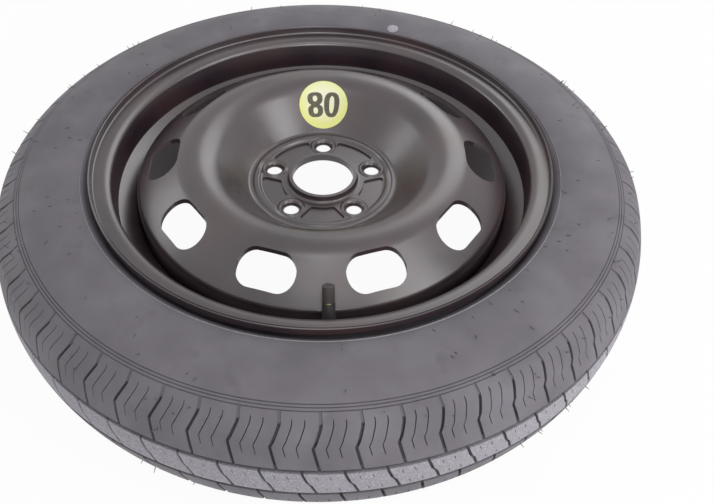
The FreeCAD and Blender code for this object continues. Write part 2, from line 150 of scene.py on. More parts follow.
def blank_material(name: str) -> tuple[bpy.types.Material, bpy.types.NodeTree, bpy.types.Node]:
    """A new node material with one Principled shader linked to its output.

    Args:
        name: the finish's name.

    Returns:
        The material, its node tree and the shader.
    """
    material = bpy.data.materials.new(name)
    material.use_nodes = True
    tree = material.node_tree
    tree.nodes.clear()
    shader = node(tree, "BsdfPrincipled")
    node(tree, "OutputMaterial", {"Surface": shader.outputs["BSDF"]})
    return material, tree, shader


@dataclass(frozen=True)
class CoatedSteel:
    """Pressed and rolled steel under a dipped black primer coat.

    The dipped coat is even and fairly shiny, so the eye gets a dark warm-grey skin with broad soft
    reflections, clouds where the coat ran thicker and a faint orange-peel. The warmest brown clouds are
    a painted reflection tint. Behind the disc it is dry and dull.
    """

    name: str = "dipped_black_coat_on_steel"
    deep: str = "#2b2126"
    pale: str = "#362a30"
    # Painted reflection: warm brown clouds stand in for the surroundings' brown tint in the coat
    painted_reflection_warm: str = "#3e2d2e"
    tone_stops: Triple = (0.34, 0.52, 0.70)
    specular: float = 1.0
    rough_low: float = 0.26
    rough_high: float = 0.36
    rough_span: Span = (0.3, 0.7)
    dry_rough: float = 0.5
    cloud_mm: float = 70.0
    peel_mm: float = 2.2
    peel_depth_mm: float = 0.25
    peel_strength: float = 0.06

    def material(self) -> bpy.types.Material:
        """Build the coat.

        Returns:
            The material.
        """
        material, tree, shader = blank_material(self.name)
        place = node(tree, "TexCoord").outputs["Object"]
        cloud = node(tree, "TexNoise", {"Vector": place, "Scale": per_mm(self.cloud_mm), "Detail": 3.0})
        tone = node(tree, "ValToRGB", {"Fac": cloud.outputs["Fac"]},
                    stops=list(zip(self.tone_stops, (self.deep, self.pale, self.painted_reflection_warm))))
        low, high = self.rough_span
        rough = node(tree, "MapRange", {"Value": cloud.outputs["Fac"], "From Min": low, "From Max": high,
                                        "To Min": self.rough_low, "To Max": self.rough_high})
        dry = node(tree, "Attribute", attribute_name=DRY_COAT).outputs["Fac"]
        total = node(tree, "Math", {0: dry, 1: self.dry_rough, 2: rough.outputs["Result"]},
                     operation="MULTIPLY_ADD")
        peel = node(tree, "TexNoise", {"Vector": place, "Scale": per_mm(self.peel_mm), "Detail": 2.0})
        bump = node(tree, "Bump", {"Height": peel.outputs["Fac"], "Strength": self.peel_strength,
                                   "Distance": self.peel_depth_mm * MM})
        plug(shader, {"Base Color": tone.outputs["Color"], "Specular IOR Level": self.specular,
                      "Roughness": total.outputs[0], "Normal": bump.outputs["Normal"]})
        return material


@dataclass(frozen=True)
class TyreRubber:
    """Carbon-black tyre rubber, compression moulded.

    The mould leaves an even matt skin. Wax that blooms to the surface greys it and handling leaves
    darker smears. The centre rib and the raised line by the rim are painted paler as a highlight,
    flecked with dust specks and painted glints; the grooves, sipes and sidewall lines are painted darker
    as shade.
    Grain and specks are drawn coarser than a mould leaves them, so that they show.
    """

    name: str = "moulded_tyre_rubber"
    deep: str = "#67636a"
    body: str = "#6d696f"
    bloom: str = "#747077"
    smear: str = "#625e64"
    # Painted shade: the colour that the grooves, sipes and sidewall lines are darkened towards
    groove: str = "#504c51"
    # Painted highlight: the paler grey of the centre rib and the raised line by the rim
    rib: str = "#8f8c94"
    # Dust specks with painted glints on the centre rib
    rib_dust_and_glint: str = "#b0adb5"
    tone_stops: Triple = (0.34, 0.50, 0.68)
    smear_span: Span = (0.62, 0.80)
    speck_stops: Span = (0.45, 0.68)
    specular: float = 0.35
    rough_dull: float = 0.66
    rough_waxy: float = 0.52
    cloud_mm: float = 45.0
    smear_mm: float = 26.0
    speck_mm: float = 1.5
    grain_mm: float = 0.8
    grain_depth_mm: float = 0.25
    grain_strength: float = 0.20

    def material(self) -> bpy.types.Material:
        """Build the rubber.

        Returns:
            The material.
        """
        material, tree, shader = blank_material(self.name)
        place = node(tree, "TexCoord").outputs["Object"]
        cloud = node(tree, "TexNoise", {"Vector": place, "Scale": per_mm(self.cloud_mm), "Detail": 5.0})
        tone = node(tree, "ValToRGB", {"Fac": cloud.outputs["Fac"]},
                    stops=list(zip(self.tone_stops, (self.deep, self.body, self.bloom))))
        smear = node(tree, "TexNoise", {"Vector": place, "Scale": per_mm(self.smear_mm), "Detail": 2.0})
        low, high = self.smear_span
        share = node(tree, "MapRange", {"Value": smear.outputs["Fac"], "From Min": low,
                                        "From Max": high})
        skin = node(tree, "MixRGB", {"Fac": share.outputs["Result"], "Color1": tone.outputs["Color"],
                                     "Color2": linear(self.smear)})
        speck = node(tree, "TexNoise", {"Vector": place, "Scale": per_mm(self.speck_mm), "Detail": 2.0})
        rib_highlight_tone = node(tree, "ValToRGB", {"Fac": speck.outputs["Fac"]},
                     stops=list(zip(self.speck_stops, (self.rib, self.rib_dust_and_glint))))
        # Painted highlight on the centre rib and the raised line next to the rim
        rib_highlight_share = node(tree, "Attribute", attribute_name=RIB_HIGHLIGHT_LAYER)
        face = node(tree, "MixRGB", {"Fac": rib_highlight_share.outputs["Fac"], "Color1": skin.outputs["Color"],
                                     "Color2": rib_highlight_tone.outputs["Color"]})
        # Painted shade in the grooves, sipes and sidewall lines
        painted_shade_share = node(tree, "Attribute", attribute_name=GROOVE_SHADE_LAYER)
        base = node(tree, "MixRGB", {"Fac": painted_shade_share.outputs["Fac"], "Color1": face.outputs["Color"],
                                     "Color2": linear(self.groove)})
        rough = node(tree, "MapRange", {"Value": cloud.outputs["Fac"], "To Min": self.rough_dull,
                                        "To Max": self.rough_waxy})
        grain = node(tree, "TexNoise", {"Vector": place, "Scale": per_mm(self.grain_mm), "Detail": 3.0})
        bump = node(tree, "Bump", {"Height": grain.outputs["Fac"], "Strength": self.grain_strength,
                                   "Distance": self.grain_depth_mm * MM})
        plug(shader, {"Base Color": base.outputs["Color"], "Specular IOR Level": self.specular,
                      "Roughness": rough.outputs["Result"], "Normal": bump.outputs["Normal"]})
        return material


@dataclass(frozen=True)
class LabelFilm:
    """Printed yellow film: a glossy pale centre that deepens to lemon at the cut edge."""

    name: str = "printed_yellow_film"
    middle: str = "#fbfae2"
    body: str = "#f9f9c6"
    edge: str = "#f1f392"
    tone_stops: Triple = (0.15, 0.65, 1.0)
    roughness: float = 0.34
    centre_mm: Triple = (0.0, 102.0, 31.0)
    radius_mm: float = 27.0

    def material(self) -> bpy.types.Material:
        """Build the film.

        Returns:
            The material.
        """
        material, tree, shader = blank_material(self.name)
        place = node(tree, "TexCoord").outputs["Object"]
        spot = tuple(value * MM for value in self.centre_mm)
        away = node(tree, "VectorMath", {0: place, 1: spot}, operation="DISTANCE")
        share = node(tree, "MapRange", {"Value": away.outputs["Value"], "From Max": self.radius_mm * MM})
        tone = node(tree, "ValToRGB", {"Fac": share.outputs["Result"]},
                    stops=list(zip(self.tone_stops, (self.middle, self.body, self.edge))))
        plug(shader, {"Base Color": tone.outputs["Color"], "Roughness": self.roughness})
        return material


@dataclass(frozen=True)
class PlainFinish:
    """A small part's finish: one tone that drifts a little, with a grain drawn coarse enough to show."""

    name: str
    deep: str
    pale: str
    roughness: float
    metallic: float = 0.0
    grain_mm: float = 1.2
    grain_depth_mm: float = 0.2
    bump: float = 0.08
    tone_stops: Span = (0.3, 0.7)

    def material(self) -> bpy.types.Material:
        """Build the finish.

        Returns:
            The material.
        """
        material, tree, shader = blank_material(self.name)
        place = node(tree, "TexCoord").outputs["Object"]
        grain = node(tree, "TexNoise", {"Vector": place, "Scale": per_mm(self.grain_mm), "Detail": 3.0})
        tone = node(tree, "ValToRGB", {"Fac": grain.outputs["Fac"]},
                    stops=list(zip(self.tone_stops, (self.deep, self.pale))))
        bump = node(tree, "Bump", {"Height": grain.outputs["Fac"], "Strength": self.bump,
                                   "Distance": self.grain_depth_mm * MM})
        plug(shader, {"Base Color": tone.outputs["Color"], "Roughness": self.roughness,
                      "Metallic": self.metallic, "Normal": bump.outputs["Normal"]})
        return material


# Soft black moulded rubber: a dull skin with a blurred sheen
STEM_RUBBER = PlainFinish("moulded_stem_rubber", "#2b2829", "#383536", 0.50)
# Black nylon: a shade browner than the stem, with a tighter sheen on its ribs
CAP_PLASTIC = PlainFinish("moulded_cap_nylon", "#3a3334", "#473f3f", 0.36)
# Vent hairs: the same rubber, darker because it is thin and fresh
HAIR_RUBBER = PlainFinish("vent_hair_rubber", "#484449", "#565257", 0.60)
# Turned brass: warm bright metal with fine tool marks
TURNED_BRASS = PlainFinish("turned_brass", "#c9b88e", "#dccca4", 0.36, metallic=0.8)
# Drawn spring wire: cool bright metal
SPRING_WIRE = PlainFinish("drawn_spring_wire", "#9a9a9c", "#b4b4b6", 0.25, metallic=1.0)
# Dark olive printing ink: flat, a little uneven
LABEL_INK = PlainFinish("printed_olive_ink", "#4a4534", "#5d5843", 0.45, grain_mm=4.0, bump=0.02)
# Stamped pale paint, thin enough for the rubber to grey it in spots
MARK_PAINT = PlainFinish("stamped_pale_paint", "#8f8d96", "#b9b7c2", 0.50, grain_mm=3.5)


def arc_points(first: Point2, middle: Point2, last: Point2, count: int) -> list[Point2]:
    """Points along the circle through three points of a section.

    Args:
        first: where the arc starts.
        middle: a point that it passes.
        last: where it ends.
        count: how many steps it is divided into.

    Returns:
        The points from first to last.
    """
    (ax, ay), (bx, by), (cx, cy) = first, middle, last
    d = 2.0 * (ax * (by - cy) + bx * (cy - ay) + cx * (ay - by))
    a, b, c = ax * ax + ay * ay, bx * bx + by * by, cx * cx + cy * cy
    ux = (a * (by - cy) + b * (cy - ay) + c * (ay - by)) / d
    uy = (a * (cx - bx) + b * (ax - cx) + c * (bx - ax)) / d
    start = math.atan2(ay - uy, ax - ux)
    through = math.atan2(by - uy, bx - ux)
    end = math.atan2(cy - uy, cx - ux)
    turn = math.remainder(through - start, math.tau) + math.remainder(end - through, math.tau)
    radius = math.hypot(ax - ux, ay - uy)
    angles = [start + turn * step / count for step in range(count + 1)]
    return [(ux + radius * math.cos(angle), uy + radius * math.sin(angle)) for angle in angles]


def rounded(corners: Sequence[Triple],
            steps: int = 6) -> list[tuple[Vector, Vector]]:
    """Points along a section whose corners are rounded, with the normal to the right of each.

    Args:
        corners: two coordinates and a bend radius each; the ends have no bend.
        steps: how many steps each bend is divided into.

    Returns:
        Each point and its normal.
    """
    spots = [Vector(corner[:2]) for corner in corners]
    ways = [(after - before).normalized() for before, after in zip(spots, spots[1:])]
    line = [(spots[0], Vector((ways[0].y, -ways[0].x)))]
    for spot, corner, before, after in zip(spots[1:], corners[1:], ways, ways[1:]):
        turn = math.atan2(before.cross(after), before.dot(after))
        bend = math.copysign(corner[2], turn)
        start = spot - before * corner[2] * math.tan(abs(turn) / 2.0)
        centre = start + Vector((-before.y, before.x)) * bend
        for step in range(steps + 1):
            side = Matrix.Rotation(turn * step / steps, 2) @ Vector((before.y, -before.x))
            line.append((centre + side * bend, side))
    return line + [(spots[-1], Vector((ways[-1].y, -ways[-1].x)))]


def along(table: Sequence[Point2], value: float) -> float:
    """Straight-line reading of a short table, held flat past its ends.

    Args:
        table: (input, output) pairs, inputs rising.
        value: the input to read at.

    Returns:
        The output there.
    """
    if value <= table[0][0]:
        return table[0][1]
    for (x0, y0), (x1, y1) in zip(table, table[1:]):
        if value <= x1:
            return y0 + (y1 - y0) * (value - x0) / (x1 - x0)
    return table[-1][1]


def finish_mesh(bm: bmesh.types.BMesh, name: str, sharp: float = SHARP_DEG) -> bpy.types.Object:
    """Close a bmesh into a smooth-shaded object at the origin.

    Args:
        bm: the modelled mesh, which is freed.
        name: the piece's name.
        sharp: edges that turn by more than this many degrees stay crisp.

    Returns:
        The new object, linked to the scene.
    """
    for face in bm.faces:
        face.smooth = True
    for edge in bm.edges:
        if len(edge.link_faces) == 2:
            edge.smooth = edge.calc_face_angle(0.0) < math.radians(sharp)
    mesh = bpy.data.meshes.new(name)
    bm.to_mesh(mesh)
    bm.free()
    piece = bpy.data.objects.new(name, mesh)
    bpy.context.scene.collection.objects.link(piece)
    return piece


def dress(piece: bpy.types.Object, material: bpy.types.Material) -> bpy.types.Object:
    """Give a piece one material in its first slot.

    Args:
        piece: the piece to dress.
        material: its finish.

    Returns:
        The same piece.
    """
    if piece.data.materials:
        piece.data.materials[0] = material
    else:
        piece.data.materials.append(material)
    log.info("%s: %s", piece.name, material.name)
    return piece


def seat(piece: bpy.types.Object, body: Body, slot: Slot, *nodes: str) -> bpy.types.Object:
    """Say which body a piece rides on, and hide the solids that it stands for.

    Args:
        piece: the finished piece.
        body: the rigid body that carries it.
        slot: the record's material slot; not used.
        nodes: the solids that it replaces.

    Returns:
        The same piece.
    """
    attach(piece, body.value)
    if nodes:
        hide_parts(*nodes)
    log.info("%s: %d faces on %s", piece.name, len(piece.data.polygons), body.value)
    return piece


def skin_of(source: bpy.types.Object, name: str) -> bpy.types.Object:
    """A merged, smooth-shaded copy of a solid's mesh.

    Args:
        source: the solid's object.
        name: the copy's name.

    Returns:
        The copy, undressed.
    """
    bm = bmesh.new()
    bm.from_mesh(source.data)
    bmesh.ops.remove_doubles(bm, verts=bm.verts[:], dist=MERGE_MM * MM)
    return finish_mesh(bm, name)


@dataclass(frozen=True)
class Row:
    """One line of the tyre's section: radius, half-width, how deep it lies and how much painted shade it
    carries.
    """

    r: float
    half: float
    deep: float = 0.0
    shade: float = 0.0


@dataclass(frozen=True)
class Column:
    """One line across a tread pitch: share of the pitch, extra mm, and its groove and sipe shares."""

    share: float
    extra: float = 0.0
    groove: float = 0.0
    sipe: float = 0.0


@dataclass
class Tyre:
    """The moulded tyre: carcass, main grooves, shoulder grooves, sipes and rib cuts. Millimetres."""

    # Carcass: radius and half-width where the outline turns, and its inside
    mid: float = -31.0
    crown_r: float = 332.0
    edge_r: float = 322.5
    edge_half: float = 47.0
    shoulder_r: float = 298.0
    shoulder_half: float = 65.5
    shoulder_swell: float = 2.0
    shoulder_steps: int = 10
    section_r: float = 264.0
    section_half: float = 72.4
    clinch_r: float = 238.7
    clinch_half: float = 69.0
    side_steps: int = 20
    crown: float = 15.5
    sidewall: float = 8.0
    lining_toe: Point2 = (229.6, 39.15)
    lining_lead: float = 2.0
    lining_drop: float = 8.0
    lining_arch: float = 1.8
    lining_steps: tuple[int, int] = (8, 4)
    # Tread: lines of the grid, then grooves, sipes and cuts
    pitches: int = 60
    rib_halves: tuple[float, ...] = (0.0, 2.0, 5.6, 7.0, 10.0, 11.4)
    block_halves: tuple[float, ...] = (24.0, 29.0, 32.6, 34.4, 38.0, 42.0, 45.0)
    block_shares: Span = (0.16, 0.88)
    groove_inner: float = 14.7
    groove_outer: float = 19.7
    groove_depth: float = 5.0
    groove_draft: float = 0.5
    groove_shade: float = 0.45
    lateral_width: float = 2.8
    lateral_draft: float = 0.35
    lateral_depth: float = 4.0
    lateral_deep_half: float = 57.5
    lateral_shallow: float = 1.0
    sipe_width: float = 0.9
    sipe_depth: float = 2.2
    sipe_shares: Span = (0.30, 0.61)
    sipe_gap: float = 0.155
    sipe_span: Span = (33.0, 59.0)
    rib_sipe_span: Span = (6.0, 10.8)
    rib_sipe_share: float = 0.7
    cut_depth: float = 3.0
    # Thin lines on the sidewall, painted darker as shade, and the raised one next to the rim, painted
    # paler as a highlight
    line_rs: tuple[float, ...] = (303.4, 300.8, 298.4)
    line_width: float = 1.1
    line_depth: float = 0.7
    line_shade: float = 0.8
    line_clear: float = 0.3
    line_slack: float = 0.1
    rim_line_r: float = 240.3
    # How the pattern's swing fades towards the bead, and how the pitches are joined
    spread_from: float = 230.0
    spread_over: float = 60.0
    spread_least: float = 0.25
    seam: float = 0.02
    sharp_deg: float = 40.0
    # Swing of the shoulder and rib grooves by half-width, and the bead's outline
    wave: tuple[Point2, ...] = ((17.2, 0.6), (42.0, -5.0), (57.0, 1.4), (64.0, 0.0))
    rib_wave: tuple[Point2, ...] = ((-17.2, 6.5), (-2.0, 1.5), (2.0, -1.5), (17.2, -6.5))
    bead: tuple[Point2, ...] = (
        (235.6, 66.0), (232.7, 63.3), (231.8, 60.8), (230.0, 58.7), (227.7, 57.3),
        (225.5, 56.85), (221.0, 56.8), (219.2, 54.0), (218.6, 50.0), (217.6, 36.15))

    def swing(self, half: float) -> float:
        """How far the pattern's lines have moved round the tyre.

        Args:
            half: distance from the mid-plane.

        Returns:
            Millimetres round the tyre at that line.
        """
        quarter = math.tau * self.crown_r / self.pitches / 4.0
        middle = (self.groove_inner + self.groove_outer) / 2.0
        if half > middle:
            return along(self.wave, half)
        if half < -middle:
            return -2.0 * quarter - along(self.wave, -half)
        return -quarter + along(self.rib_wave, half)

    def columns(self) -> list[Column]:
        """The lines across one pitch, from one groove to the next.

        Returns:
            The columns in order round the tyre.
        """
        wide = self.lateral_width / 2.0
        floor = wide - self.lateral_draft
        slit = self.sipe_width / 2.0
        first, last = self.block_shares
        lines = [Column(0.0, -wide), Column(0.0, -floor, groove=1.0), Column(0.0, floor, groove=1.0),
                 Column(0.0, wide), Column(first)]
        for share in self.sipe_shares:
            lines += [Column(share, -slit), Column(share, sipe=1.0), Column(share, slit),
                      Column(share + self.sipe_gap)]
        return lines + [Column(last), Column(1.0, -wide)]

    def tread_r(self, half: float) -> float:
        """Radius of the tread surface at a distance from the mid-plane."""
        return self.crown_r - (self.crown_r - self.edge_r) * (half / self.edge_half) ** 2

    def outline(self) -> list[Point2]:
        """Radius and half-width from the tread's edge over the shoulder to the rim line.

        Returns:
            The points, radius falling.
        """
        edge, shoulder = (self.edge_r, self.edge_half), (self.shoulder_r, self.shoulder_half)
        lean = self.shoulder_swell / math.sqrt(2.0)
        bend = ((edge[0] + shoulder[0]) / 2.0 + lean, (edge[1] + shoulder[1]) / 2.0 + lean)
        turn = arc_points(edge, bend, shoulder, self.shoulder_steps)
        side = arc_points(shoulder, (self.section_r, self.section_half),
                          (self.clinch_r, self.clinch_half), self.side_steps)
        return turn + side[1:]

    def half_rows(self) -> list[Row]:
        """Section rows of one side, mid-tread to bead toe.

        Returns:
            The rows in order.
        """
        rows = [Row(self.tread_r(half), half) for half in (*self.rib_halves, self.groove_inner)]
        for half in (self.groove_inner + self.groove_draft, self.groove_outer - self.groove_draft):
            rows.append(Row(self.tread_r(half), half, self.groove_depth, self.groove_shade))
        rows += [Row(self.tread_r(half), half) for half in (self.groove_outer, *self.block_halves)]
        outline = self.outline()
        table = sorted(outline)
        edge = self.line_width / 2.0
        lines = [(r, self.line_depth, self.line_shade) for r in self.line_rs]
        lines.append((self.rim_line_r, -self.line_depth, 0.0))
        flank = [Row(r, half) for r, half in outline
                 if all(abs(r - line) > edge + self.line_clear for line, _, _ in lines)]
        for r, deep, shade in lines:
            flank += [Row(r + edge, along(table, r + edge)), Row(r - edge, along(table, r - edge)),
                      Row(r, along(table, r), deep, shade)]
        rows += sorted(flank, key=lambda row: -row.r)
        return rows + [Row(r, half) for r, half in self.bead]

    def lining_rows(self) -> list[Row]:
        """Rows inside the carcass of one side, bead toe to mid-crown.

        Returns:
            The rows in order.
        """
        inner = self.crown_r - self.crown
        side = (self.section_r - self.lining_lead, self.section_half - self.sidewall)
        edge = (inner - self.lining_drop, self.edge_half)
        arch = (inner - self.lining_arch, self.edge_half / 2.0)
        side_steps, arch_steps = self.lining_steps
        path = arc_points(self.lining_toe, side, edge, side_steps)
        path += arc_points(edge, arch, (inner, 0.0), arch_steps)[1:]
        return [Row(r, half) for r, half in path]

    def pattern(self, row: Row, column: Column) -> tuple[float, float]:
        """Depth and painted shade of the repeated pattern where a row and a column cross.

        Args:
            row: the section line.
            column: the line across the pitch.

        Returns:
            How deep the surface lies, and how much painted shade it carries from none to one.
        """
        away = abs(row.half)
        if row.r < self.line_rs[0] - self.line_slack:
            return row.deep, row.shade
        if away >= self.groove_outer:
            cut = self.lateral_depth if away < self.lateral_deep_half else self.lateral_shallow
            (low, high), slit = self.sipe_span, self.sipe_depth
        else:
            cut = self.cut_depth
            (low, high), slit = self.rib_sipe_span, self.sipe_depth * self.rib_sipe_share
        slit *= column.sipe if low < away < high else 0.0
        deep = max(row.deep, column.groove * cut, slit)
        shade = max(row.shade, column.groove * min(1.0, cut / self.cut_depth), 1.0 if slit else 0.0)
        return deep, shade

    def build(self) -> bpy.types.Object:
        """Model one pitch on a grid, repeat it round the axle and merge the seams.

        Returns:
            The tyre, undressed.
        """
        upper = self.half_rows()
        lower = [Row(row.r, -row.half, row.deep, row.shade) for row in upper[1:]]
        lining = self.lining_rows()
        loop = list(reversed(upper)) + lower
        loop += [Row(row.r, -row.half) for row in lining] + list(reversed(lining[:-1])) + [upper[-1]]
        outside = len(upper) + len(lower)
        columns = self.columns()
        wide, tall = len(columns) - 1, len(loop) - 1
        bm = bmesh.new()
        shade_layer = bm.verts.layers.float.new(GROOVE_SHADE_LAYER)
        rib_highlight_layer = bm.verts.layers.float.new(RIB_HIGHLIGHT_LAYER)
        bmesh.ops.create_grid(bm, x_segments=wide, y_segments=tall, size=1.0)
        step = math.tau / self.pitches
        for vert in bm.verts:
            column = columns[round((vert.co.x + 1.0) / 2.0 * wide)]
            index = round((vert.co.y + 1.0) / 2.0 * tall)
            row, before, after = loop[index], loop[max(index - 1, 0)], loop[min(index + 1, tall)]
            out = Vector((before.half - after.half, after.r - before.r)).normalized()
            deep, shade = self.pattern(row, column) if index < outside else (0.0, 0.0)
            # Painted shade share of the grooves, sipes and sidewall lines
            vert[shade_layer] = shade
            # Painted highlight on the centre rib and on the raised line next to the rim
            pale = abs(row.half) <= self.groove_inner or row.deep < 0.0
            vert[rib_highlight_layer] = 1.0 if pale and index < outside else 0.0
            spread = max(self.spread_least, min(1.0, (row.r - self.spread_from) / self.spread_over))
            angle = column.share * step + (column.extra + self.swing(row.half) * spread) / row.r
            r = row.r - out.x * deep
            z = self.mid + row.half - out.y * deep
            vert.co = Vector((r * math.cos(angle), r * math.sin(angle), z)) * MM
        copies = self.pitches - 1
        bmesh.ops.spin(bm, geom=bm.faces[:], cent=(0, 0, 0), axis=(0, 0, 1), angle=step * copies,
                       steps=copies, use_duplicate=True)
        bmesh.ops.remove_doubles(bm, verts=bm.verts[:], dist=self.seam * MM)
        bmesh.ops.recalc_face_normals(bm, faces=bm.faces[:])
        return finish_mesh(bm, "tyre_moulding", self.sharp_deg)


@dataclass(frozen=True)
class VentHairs:
    """Thin rubber hairs that the mould's vents left on the tyre. Millimetres."""

    tyre: Tyre
    on_tread: int = 170
    on_sides: int = 128
    seed: int = 11
    side_span: Span = (242.0, 294.0)
    shoulder_gap: float = 3.0
    crown_gap: float = 1.5
    back_keep: float = 14.0
    lengths: Span = (2.5, 6.5)
    scatter: float = 0.4
    side_rise: float = 0.25
    rise_from: float = 30.0
    rise_over: float = 30.0
    root: float = 0.5
    foot_r: float = 0.45
    tip_r: float = 0.2
    facets: int = 6

    def hair(self, bm: bmesh.types.BMesh, spot: Triple, lean: Vector,
             length: float) -> None:
        """Add one hair.

        Args:
            bm: the mesh to add to.
            spot: radius, half-width and angle of its foot.
            lean: the way it points.
            length: how long it is.
        """
        r, half, angle = spot
        foot = Vector((r * math.cos(angle), r * math.sin(angle), self.tyre.mid + half))
        way = lean.normalized()
        turn = way.to_track_quat("Z", "Y").to_matrix().to_4x4()
        move = Matrix.Translation((foot + way * (length / 2.0 - self.root)) * MM)
        bmesh.ops.create_cone(bm, cap_ends=True, segments=self.facets, radius1=self.foot_r * MM,
                              radius2=self.tip_r * MM, depth=length * MM, matrix=move @ turn)

    def build(self) -> bpy.types.Object:
        """Scatter hairs over the tread and shoulders, and then over the sidewalls.

        Returns:
            All the hairs as one piece, undressed.
        """
        tyre, draw = self.tyre, random.Random(self.seed)
        table = sorted(tyre.outline())
        tread_span = (tyre.shoulder_r + self.shoulder_gap, tyre.crown_r - self.crown_gap)
        bm = bmesh.new()
        fields = ((self.on_tread, tread_span, False), (self.on_sides, self.side_span, True))
        for count, span, flat in fields:
            for _ in range(count):
                angle = draw.uniform(0.0, math.tau)
                face = draw.choice((1.0, -1.0))
                r = draw.uniform(*span)
                if face < 0.0:
                    r = max(r, tyre.shoulder_r - self.back_keep)
                away = along(table, r)
                if r > tyre.edge_r:
                    away = tyre.edge_half * math.sqrt((tyre.crown_r - r) / (tyre.crown_r - tyre.edge_r))
                rise = min(1.0, max(0.0, (away - self.rise_from) / self.rise_over))
                lean = Vector((math.cos(angle), math.sin(angle), 0.0))
                lean *= draw.choice((1.0, 1.0, -1.0) if flat else (1.0,))
                lean += Vector((draw.uniform(-self.scatter, self.scatter),
                                draw.uniform(-self.scatter, self.scatter),
                                face * (self.side_rise if flat else rise)))
                self.hair(bm, (r, face * away, angle), lean, draw.uniform(*self.lengths))
        return finish_mesh(bm, "tyre_vent_hairs")


@dataclass
class PressedWheel:
    """The welded steel wheel: a rim spun from its rolled section, and skins of the disc and its welds.

    Millimetres and degrees. The front flange stands a little higher than the solid's, and its bead seat
    is thicker.
    """

    rim: str = "rim_barrel"
    disc: str = "wheel_disc"
    welds: str = "weld_beads"
    mid: float = -31.0
    half: float = 57.15
    front_lift: float = 7.5
    sheet: float = 2.8
    backing: float = 4.0
    backing_rise: float = 1.5
    seat_r: float = 218.3
    flange_r: float = 232.5
    front_reach: float = 10.4
    back_reach: float = 12.4
    lip_angles: Triple = (45.0, 90.0, 135.0)
    lip_bend: float = 5.0
    seat_bend: float = 3.5
    seat_width: float = 22.0
    seat_taper: float = 5.0
    well_r: float = 192.8
    well_bend: float = 8.0
    well_slope: float = 28.0
    spin_steps: int = 240
    pad_z: float = 4.5
    bolt_circle_r: float = 54.0
    bolts: int = 5
    first_bolt: float = 0.25
    boss_reach: float = 14.6
    boss_keep: float = 0.4
    dry_z: float = -20.0
    dry_r: float = 110.0
    upright: float = 0.05

    def section(self) -> list[Triple]:
        """Tyre-side corners of the rim's section, front lip to back lip.

        Returns:
            Radius, height and bend of each corner.
        """
        land = self.half - self.seat_width
        land_r = self.seat_r - self.seat_width * math.tan(math.radians(self.seat_taper))
        run = (land_r - self.well_r) * math.tan(math.radians(self.well_slope))
        front, back = self.mid + self.half + self.front_lift, self.mid - self.half
        return [(self.flange_r, front + self.front_reach, 0.0),
                (self.flange_r, front, self.lip_bend),
                (self.seat_r, front, self.seat_bend),
                (land_r, self.mid + land, self.well_bend),
                (self.well_r, self.mid + land - run, self.well_bend),
                (self.well_r, self.mid - land + run, self.well_bend),
                (land_r, self.mid - land, self.well_bend),
                (self.seat_r, back, self.seat_bend),
                (self.flange_r, back, self.lip_bend),
                (self.flange_r, back - self.back_reach, 0.0)]

    def inner_side(self, point: Vector, normal: Vector) -> Vector:
        """The sheet's inner side, with the roll that backs the front bead seat.

        Args:
            point: a point of the tyre-side section.
            normal: its normal, towards the inner side.

        Returns:
            The point across the sheet.
        """
        inner = point + normal * self.sheet
        if point.y > self.mid and point.x < self.flange_r - self.lip_bend:
            climb = (point.x - self.well_r) / (self.seat_r - self.well_r) * self.backing_rise
            inner.x -= self.backing * min(1.0, max(0.0, climb)) * max(0.0, -normal.x)
        return inner

    def lip(self, end: Vector, side: Vector, ahead: float) -> list[Vector]:
        """Round off one open edge of the sheet.

        Args:
            end: the tyre-side end of the section.
            side: its normal, across the sheet.
            ahead: one or minus one, for the side of that normal on which the edge lies.

        Returns:
            Points over the edge, from the tyre side to the inner side.
        """
        away = Vector((-side.y, side.x)) * ahead
        middle = end + side * self.sheet / 2.0
        turns = [math.radians(angle) for angle in self.lip_angles]
        return [middle + (away * math.sin(turn) - side * math.cos(turn)) * self.sheet / 2.0
                for turn in turns]

    def spun_rim(self) -> bpy.types.Object:
        """Give the section its sheet thickness and round lips, and spin it about the axle.

        Returns:
            The rim, undressed.
        """
        line = rounded(self.section())
        loop = [point for point, _ in line] + self.lip(*line[-1], -1.0)
        loop += [self.inner_side(point, normal) for point, normal in reversed(line)]
        loop += reversed(self.lip(*line[0], 1.0))
        bm = bmesh.new()
        verts = [bm.verts.new((point.x * MM, 0.0, point.y * MM)) for point in loop]
        edges = [bm.edges.new(pair) for pair in zip(verts, verts[1:] + verts[:1])]
        bmesh.ops.spin(bm, geom=verts + edges, cent=(0, 0, 0), axis=(0, 0, 1), angle=math.tau,
                       steps=self.spin_steps, use_merge=True)
        bmesh.ops.recalc_face_normals(bm, faces=bm.faces[:])
        return finish_mesh(bm, self.rim + "_skin")

    def lower_bosses(self, piece: bpy.types.Object) -> bpy.types.Object:
        """Press the bolt bosses down, so that the holes open as wide to the eye as real ones.

        Args:
            piece: the disc's skin.

        Returns:
            The same piece.
        """
        for index in range(self.bolts):
            angle = math.tau * (self.first_bolt + index / self.bolts)
            axis = Vector((math.cos(angle), math.sin(angle))) * self.bolt_circle_r * MM
            for vert in piece.data.vertices:
                over = vert.co.z - self.pad_z * MM
                if over > 0.0 and (vert.co.xy - axis).length < self.boss_reach * MM:
                    vert.co.z = self.pad_z * MM + over * self.boss_keep
        return piece

    def behind(self, spot: Vector, normal: Vector) -> bool:
        """Tell whether a face of the disc is on its hidden side.

        Args:
            spot: the face's centre.
            normal: the face's normal.

        Returns:
            True on the back of the dome and skirt.
        """
        inward = abs(normal.z) < self.upright and normal.xy.dot(spot.xy) < 0.0
        return spot.xy.length > self.dry_r * MM and (inward or normal.z <= -self.upright)

    def mark_dry(self, piece: bpy.types.Object, hidden: Callable[[Vector, Vector], bool]) -> None:
        """Mark the faces behind the disc, where the dip left a dry coat.

        Args:
            piece: the rim or the disc.
            hidden: the test of a face's centre and normal.
        """
        marks = piece.data.attributes.new(DRY_COAT, "FLOAT", "FACE")
        for face, mark in zip(piece.data.polygons, marks.data):
            mark.value = float(hidden(face.center, face.normal))

